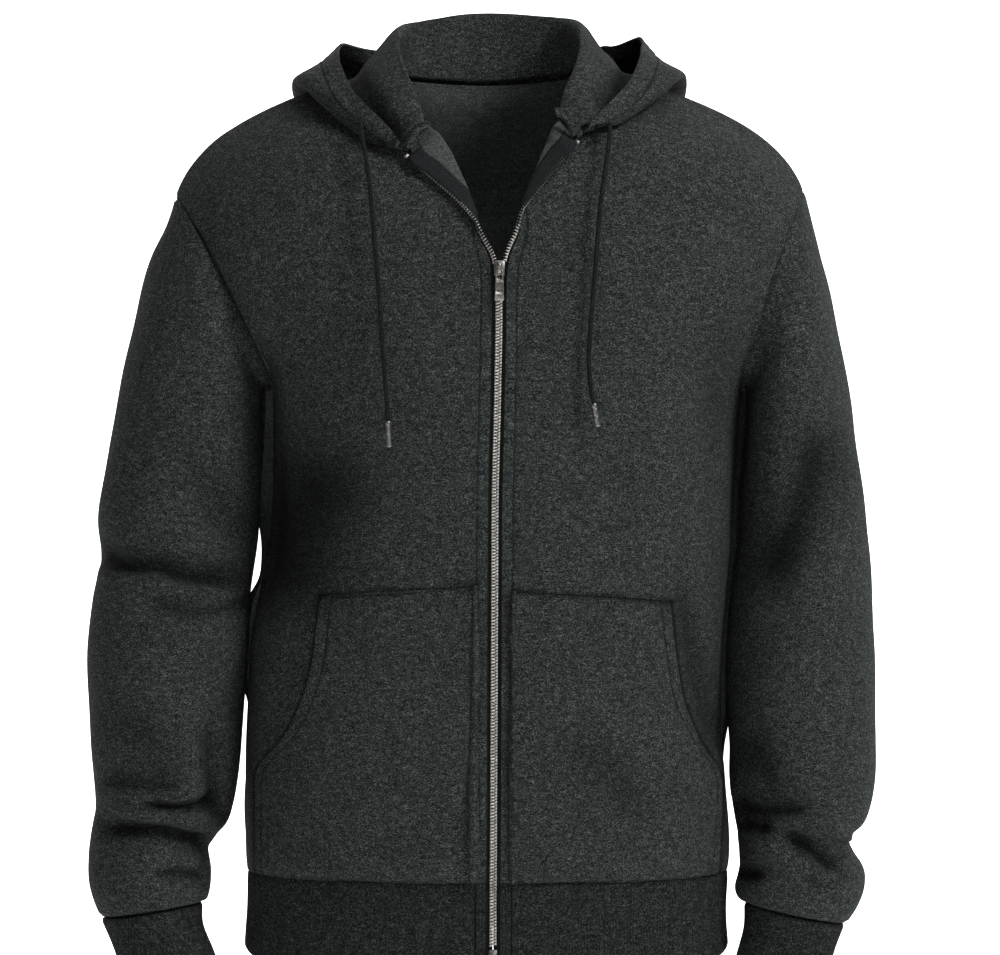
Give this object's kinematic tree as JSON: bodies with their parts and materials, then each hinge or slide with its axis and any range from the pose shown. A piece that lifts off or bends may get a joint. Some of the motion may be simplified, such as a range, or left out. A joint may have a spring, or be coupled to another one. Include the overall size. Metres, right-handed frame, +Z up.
{
  "type": "zip-up hoodie",
  "caption": "Worn zip-up hoodie of dark charcoal heather fleece, zipped to the chest, with kangaroo pockets, ribbed hem and cuffs, drawstrings and the hood folded down.",
  "frame": {"origin": "middle of the neck opening, level with its side points, where the wearer's neck and shoulders hold it", "axes": "+Z up, -Y towards the front, +X towards the wearer's left"},
  "size_m": [0.6443, 0.3335, 0.8143],
  "materials": {
    "fleece": "heathered brushed fleece",
    "rib": "fine rib knit",
    "tape": "woven zip tape",
    "zip_metal": "antique silver",
    "cord": "braided drawstring",
    "tip_metal": "crimped metal"
  },
  "bodies": {
    "garment": {"front_right": "fleece", "front_left": "fleece", "back": "fleece", "sleeve_right": "fleece", "sleeve_left": "fleece", "cuff_right": "rib", "cuff_left": "rib", "waistband": "rib", "hood": "fleece", "pocket_right": "fleece", "pocket_left": "fleece", "zip_tape_right": "tape", "zip_tape_left": "tape", "zip_chain_right": "zip_metal", "zip_chain_left": "zip_metal", "zip_chain_closed": "zip_metal", "zip_stop_right": "zip_metal", "zip_stop_left": "zip_metal", "zip_slider": "zip_metal", "zip_box": "zip_metal", "cord_right": "cord", "cord_left": "cord", "cord_tip_right": "tip_metal", "cord_tip_left": "tip_metal"},
    "pull_tab": {"zip_pull_tab": "zip_metal"}
  },
  "joints": [
    {"name": "pull_tab_swing", "type": "hinge", "parent": "garment", "child": "pull_tab", "pos_m": [0.0036, -0.1384, -0.1499], "axis": [-1, 0, 0], "range_deg": [-10, 170]}
  ]
}
